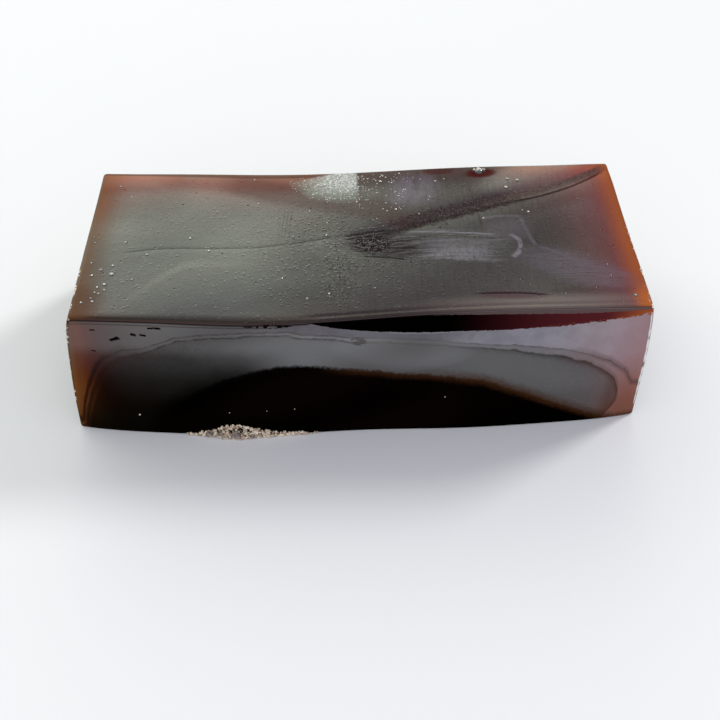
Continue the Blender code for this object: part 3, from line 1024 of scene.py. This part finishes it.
def beads(name, centres, radii, material, tall, sides, rings):
    """Many closed beads in one mesh: rings of points on a sphere, each bead scaled by its radii and moved.

    A point at turn t and tilt p lies at (cos t sin p, sin t sin p, tall cos p) times the radius.
    """
    turn = np.linspace(0, 2 * math.pi, sides, endpoint=False)
    tilt = np.linspace(0, math.pi, rings + 2)[1:-1]
    flat = [np.outer(np.sin(tilt), np.cos(turn)), np.outer(np.sin(tilt), np.sin(turn))]
    ball = np.stack([*flat, tall * np.outer(np.cos(tilt), np.ones(sides))], axis=-1).reshape(-1, 3)
    ball = np.concatenate([[[0, 0, tall]], ball, [[0, 0, -tall]]])
    points = centres[:, None, :] + radii[:, None, None] * ball[None]
    quads, triangles = skin_faces(rings, sides)
    step = (np.arange(len(centres)) * len(ball))[:, None, None]
    quads = (quads + step).reshape(-1, 4)
    triangles = (triangles + step).reshape(-1, 3)
    part_of_block(mesh_object(name, points.reshape(-1, 3), quads, triangles, material))


def on_the_top(places, radii, sunk):
    """Centres for beads on the top: each at its place, sunk into the skin by a share of its radius."""
    x, y = places[:, 0], places[:, 1]
    return np.stack([x, y, top_height(x, y) - sunk * radii], axis=-1)


def bubble_material():
    """A thin wet skin over a bubble, dark as the jelly below, with a hard bright glint painted on its top.
    """
    material, shader, place = new_material("bubble_skin")
    tone = place.noise(1.2, 2)
    painted_glint = place.node("ShaderNodeNewGeometry", output=1).axis(2).ramp(0.76, 0.96)
    painted_glint = painted_glint * (0.25 + 0.75 * place.noise(0.9, 2, 0.6).ramp(0.44, 0.52))
    painted_glint.mixed((0.012, 0.008, 0.007), (0.60, 0.57, 0.52)).into(shader.inputs["Base Color"])
    (0.03 + 0.06 * tone).into(shader.inputs["Roughness"])
    shader.inputs["IOR"].default_value = 1.6
    shader.inputs["Specular IOR Level"].default_value = 1.0
    return material


singles = np.array(SINGLE_BUBBLES) * 0.001
single_radii = singles[:, 2]
single_centres = on_the_top(singles, single_radii, BUBBLE_SUNK)
beads("bubbles", single_centres, single_radii, bubble_material(), tall=0.80, sides=14, rings=7)

# The froth: hundreds of tiny pale bubbles left in a patch at the back edge, whitest at its right end, with
# more of them strewn round it.
FROTH_BEADS = 1500
FROTH_STREWN = 150
FROTH_BACK = 34.2
FROTH_SUNK = 0.2


def froth_material():
    """Pale foam: nearly white bubble walls over dark jelly, wet and glossy."""
    material, shader, place = new_material("froth")
    tone = place.noise(0.8, 3).ramp(0.3, 0.7)
    tone.mixed((0.34, 0.36, 0.32), (0.80, 0.82, 0.78)).into(shader.inputs["Base Color"])
    (0.10 + 0.15 * tone).into(shader.inputs["Roughness"])
    shader.inputs["IOR"].default_value = 1.45
    return material


def froth_places():
    """Random places and radii in metres, in and round the froth's oval: denser to the right and back."""
    share = np.sqrt(rng.random(FROTH_BEADS)) * 0.95
    turn = rng.random(FROTH_BEADS) * 2 * math.pi
    u = share * np.cos(turn) * FROTH_REACH[0]
    v = share * np.sin(turn) * FROTH_REACH[1]
    x, y = FROTH_CENTRE[0] + u, FROTH_CENTRE[1] + v
    chance = (0.25 + 0.75 * smooth((u + 18.0) / 16.0)) * (0.3 + 0.7 * smooth((v + 15.0) / 11.0))
    kept = rng.random(FROTH_BEADS) < chance
    radius = 0.16 + 0.22 * rng.random(FROTH_BEADS) ** 3
    inside = kept & (y < FROTH_BACK) & (x < FROTH_RIGHT[0])
    patch = np.stack([x, y, radius], axis=-1)[inside]
    strewn_x = rng.normal(2.0, 12.0, FROTH_STREWN)
    strewn_y = 33.5 - np.abs(rng.normal(0.0, 10.0, FROTH_STREWN))
    strewn = np.stack([strewn_x, strewn_y, 0.15 + 0.17 * rng.random(FROTH_STREWN) ** 2], axis=-1)
    return np.concatenate([patch, strewn]) * 0.001


froth_spots = froth_places()
froth_radii = froth_spots[:, 2]
froth_centres = on_the_top(froth_spots, froth_radii, FROTH_SUNK)
beads("froth", froth_centres, froth_radii, froth_material(), tall=0.8, sides=7, rings=4)

# Crumbs: small torn lumps of jelly that cling to the sharp edges of both ends, and a few down the front's
# left edge. Each is a closed, flattened lump of a random size.
CRUMBS_RIGHT = 46
CRUMBS_LEFT = 30
CRUMBS_DOWN = 14
CRUMB_INSET = 0.0004


def on_carton(x, y, z):
    """Where points of the carton's box, in metres, lie on the slumped block."""
    return slumped(x, y, z) + CENTRE_SHIFT


def crumb_places():
    """Random places along the right end's and the left end's top edges and down the front left edge."""
    right_y = -CARTON_WIDTH / 2 + 0.038 * rng.random(CRUMBS_RIGHT) ** 1.4
    left_y = -CARTON_WIDTH / 2 + 0.022 * rng.random(CRUMBS_LEFT) ** 1.2
    down_z = HEIGHT * (0.25 + 0.75 * rng.random(CRUMBS_DOWN))
    x = np.concatenate([np.full(CRUMBS_RIGHT, 0.5), np.full(CRUMBS_LEFT + CRUMBS_DOWN, -0.5)]) * TOP_LENGTH
    y = np.concatenate([right_y, left_y, np.full(CRUMBS_DOWN, -CARTON_WIDTH / 2)])
    z = np.concatenate([np.full(CRUMBS_RIGHT + CRUMBS_LEFT, HEIGHT - CRUMB_INSET), down_z])
    return on_carton(x - CRUMB_INSET * np.sign(x), y, z)


def crumb_material():
    """Torn jelly in thin bits: pale amber where the light gets through, wet all over."""
    material, shader, place = new_material("jelly_crumbs")
    tone = place.noise(0.45, 2).ramp(0.40, 0.62)
    tone.mixed((0.20, 0.075, 0.030), (0.78, 0.66, 0.55)).into(shader.inputs["Base Color"])
    (0.08 + 0.12 * place.noise(2, 2)).into(shader.inputs["Roughness"])
    return material


crumb_radii = 0.001 * (0.21 + 0.34 * rng.random(CRUMBS_RIGHT + CRUMBS_LEFT + CRUMBS_DOWN) ** 2)
crumb_centres = crumb_places()
beads("crumbs", crumb_centres, crumb_radii, crumb_material(), tall=0.8, sides=8, rings=5)

# A thin bead of liquid runs down the right end's front edge, painted pale as a highlight where it catches
# the light. It is a closed tube that tapers to nothing at both ends.
WET_EDGE_TOP = 0.0530
WET_EDGE_FOOT = 0.0060
WET_EDGE_RADIUS = 0.00032
WET_EDGE_ROWS = 60
WET_EDGE_SIDES = 10
WET_EDGE_INSET = 0.0008


def on_front(x, z, out=0.0):
    """Where points of the carton's front face, or of one a little further out, lie on the slumped block."""
    return on_carton(x, np.full_like(x, -CARTON_WIDTH / 2 - out), z)


def wet_edge():
    """The tube: rings of radius r sin(pi s) to the power 0.3, at share s of the way down the edge."""
    share = (np.arange(WET_EDGE_ROWS) + 0.5) / WET_EDGE_ROWS
    height = WET_EDGE_TOP + (WET_EDGE_FOOT - WET_EDGE_TOP) * share
    path = on_front(np.full_like(share, TOP_LENGTH / 2 - WET_EDGE_INSET), height)
    swelling = 1.0 + 0.25 * np.sin(41.0 * share + 9.0 * share ** 2)
    radius = WET_EDGE_RADIUS * np.sin(math.pi * share) ** 0.3 * swelling
    turn = np.linspace(0, 2 * math.pi, WET_EDGE_SIDES, endpoint=False)
    ring = np.stack([np.cos(turn), np.sin(turn), np.zeros_like(turn)], axis=-1)
    rings = path[:, None, :] + radius[:, None, None] * ring[None]
    points = np.concatenate([path[:1], rings.reshape(-1, 3), path[-1:]])
    quads, triangles = skin_faces(WET_EDGE_ROWS, WET_EDGE_SIDES)
    part_of_block(mesh_object("wet_edge", points, quads, triangles, painted_highlight_material()))


def painted_highlight_material():
    """A thread of liquid painted light lilac grey as a highlight, very smooth."""
    material, shader, place = new_material("wet_thread_highlight")
    tone = place.noise(0.25, 3).ramp(0.30, 0.50)
    tone.mixed((0.22, 0.17, 0.16), (0.80, 0.77, 0.76)).into(shader.inputs["Base Color"])
    (0.04 + 0.06 * tone).into(shader.inputs["Roughness"])
    return material


wet_edge()

# Foam at the foot of the front, left of the middle: small cream-coloured bubbles that cling to the jelly's
# skin, thickest in the patch and thinning out to its ends, with a few larger domes, and above them single
# pale beads of the foam's colour, painted glints.
FOAM_BEADS = 900
FOAM_START = -0.0590
FOAM_END = -0.0140
FOAM_THICKEST = -0.0430
FOAM_HEIGHT = 0.0056
FOAM_DEPTH = 0.0022
FOAM_DOMES = ((-50.0, 2.2, 1.2), (-46.2, 2.6, 1.1), (-41.2, 2.4, 1.6), (-36.0, 1.7, 0.9))
DOMES_OUT = 0.0008
FRONT_GLINTS = (
    (-72.0, 10.0, 0.40), (-43.0, 12.6, 0.25), (-31.0, 13.4, 0.22), (-22.0, 14.0, 0.25), (27.0, 16.2, 0.28),
)


def foam_places():
    """Random places on the foot of the front, and radii, in metres, in a bell skewed to the left."""
    x = rng.triangular(FOAM_START, FOAM_THICKEST, FOAM_END, FOAM_BEADS)
    reach = np.where(x < FOAM_THICKEST, FOAM_THICKEST - FOAM_START, FOAM_END - FOAM_THICKEST)
    tall = FOAM_HEIGHT * (0.18 + 0.82 * bell(x, FOAM_THICKEST, 0.45 * reach))
    radius = 0.001 * (0.17 + 0.45 * rng.random(FOAM_BEADS) ** 4)
    z = radius + tall * rng.random(FOAM_BEADS) ** 1.3
    heaped = np.clip(1.0 - z / FOAM_HEIGHT, 0.0, 1.0) * (tall / FOAM_HEIGHT)
    depth = FOAM_DEPTH * heaped * rng.random(FOAM_BEADS) ** 0.4
    centre = on_front(x, z)
    centre[:, 1] -= depth - 0.3 * radius
    return centre, radius


def foam_material(name, hollow, wall):
    """Cream-coloured foam: pale bubble walls, darker in its hollows, wet."""
    material, shader, place = new_material(name)
    tone = place.noise(0.9, 3, 0.6).ramp(0.35, 0.65)
    tone.mixed(hollow, wall).into(shader.inputs["Base Color"])
    (0.10 + 0.15 * tone).into(shader.inputs["Roughness"])
    return material


dome_x, dome_z, dome_radii = np.array(FOAM_DOMES).T * 0.001
dome_skin = foam_material("foam_domes", (0.07, 0.055, 0.045), (0.36, 0.30, 0.25))
dome_centres = on_front(dome_x, dome_z, DOMES_OUT)
beads("foam_domes", dome_centres, dome_radii, dome_skin, tall=0.8, sides=20, rings=11)
foam_centres, foam_radii = foam_places()
foam_skin = foam_material("foam", (0.42, 0.27, 0.18), (0.88, 0.78, 0.62))
beads("foam", foam_centres, foam_radii, foam_skin, tall=0.95, sides=8, rings=5)
# Painted glints: pale beads in the foam's colour on the front
speck_x, speck_z, speck_radii = np.array(FRONT_GLINTS).T * 0.001
beads("front_glints", on_front(speck_x, speck_z), speck_radii, foam_skin, tall=0.9, sides=8, rings=5)

# The floor: a plain pale table top, one flat square that reaches well past the block. It takes the block's
# soft shadow, and the front of the block mirrors it.
FLOOR_SIZE = 3.0


def floor_material():
    material, shader, place = new_material("pale_floor")
    tone = place.noise(0.003, 3)
    tone.mixed((0.81, 0.81, 0.825), (0.83, 0.83, 0.845)).into(shader.inputs["Base Color"])
    shader.inputs["Roughness"].default_value = 0.6
    return material


floor_corners = FLOOR_SIZE / 2 * np.array([[-1, -1, 0], [1, -1, 0], [1, 1, 0], [-1, 1, 0]], float)
floor_quad = np.array([[0, 1, 2, 3]])
floor = mesh_object("floor", floor_corners, floor_quad, np.empty((0, 3), int), floor_material())

# The light: a broad bright window behind the block, a softer key from the back right, and a dim room. The
# window is what the wet top mirrors, and gives it its grey.
KEY_DIRECTION = np.array([0.67, 0.42, 0.60])
KEY_STRENGTH = 1.4
KEY_ANGLE = math.radians(14)
WINDOW_BRIGHTNESS = 1.9
WINDOW_TOP = (0.84, 0.58)
WINDOW_RIGHT = (0.60, 0.00)
WINDOW_FRONT = (-0.10, 0.40)
ROOM_FRONT = 0.82
ROOM_BACK = 0.38
ROOM_COLOUR = (0.96, 0.98, 1.06)
WINDOW_COLOUR = (0.98, 1.02, 0.87)


def room_light():
    """The world's brightness: dim in front, brighter behind, plus a wide window to the back left.

    The window's three edges are smooth steps over the direction's height, its X and its Y.
    """
    world = bpy.data.worlds.new("room")
    world.use_nodes = True
    bpy.context.scene.world = world
    field = Field(world.node_tree)
    direction = field.node("ShaderNodeTexCoord", output=0)
    rightward, backward, upward = (direction.axis(number) for number in range(3))
    window = upward.ramp(*WINDOW_TOP) * rightward.ramp(*WINDOW_RIGHT) * backward.ramp(*WINDOW_FRONT)
    room = ROOM_FRONT + (ROOM_BACK - ROOM_FRONT) * backward.ramp(-0.5, 0.6) + WINDOW_BRIGHTNESS * window
    background = world.node_tree.nodes["Background"]
    room.into(background.inputs["Strength"])
    window.ramp(0, 0.5).mixed(ROOM_COLOUR, WINDOW_COLOUR).into(background.inputs["Color"])


def key_light():
    light = bpy.data.lights.new("key", "SUN")
    light.energy = KEY_STRENGTH
    light.angle = KEY_ANGLE
    lamp = bpy.data.objects.new("key", light)
    towards = KEY_DIRECTION / np.linalg.norm(KEY_DIRECTION)
    lamp.rotation_euler = (math.acos(towards[2]), 0.0, math.atan2(towards[0], -towards[1]))
    bpy.context.scene.collection.objects.link(lamp)


room_light()
key_light()

# The camera stands at the photograph's viewing angle: in front of the block, looking down on it.
CAMERA_PLACE = (-0.0072, -0.1929, 0.2400)
CAMERA_DOWN = math.radians(52.98)
CAMERA_HEADING = math.radians(-2.63)
CAMERA_ROLL = math.radians(0.94)
CAMERA_LENS = 38.6


def place_camera():
    camera = bpy.data.objects.new("camera", bpy.data.cameras.new("camera"))
    camera.data.sensor_width = 36.0
    camera.data.lens = CAMERA_LENS
    tilt = Matrix.Rotation(math.pi / 2 - CAMERA_DOWN, 4, "X")
    turned = Matrix.Rotation(CAMERA_HEADING, 4, "Z") @ tilt @ Matrix.Rotation(CAMERA_ROLL, 4, "Z")
    camera.matrix_world = Matrix.Translation(CAMERA_PLACE) @ turned
    bpy.context.scene.collection.objects.link(camera)
    bpy.context.scene.camera = camera


place_camera()
bpy.context.scene.view_settings.view_transform = "Standard"
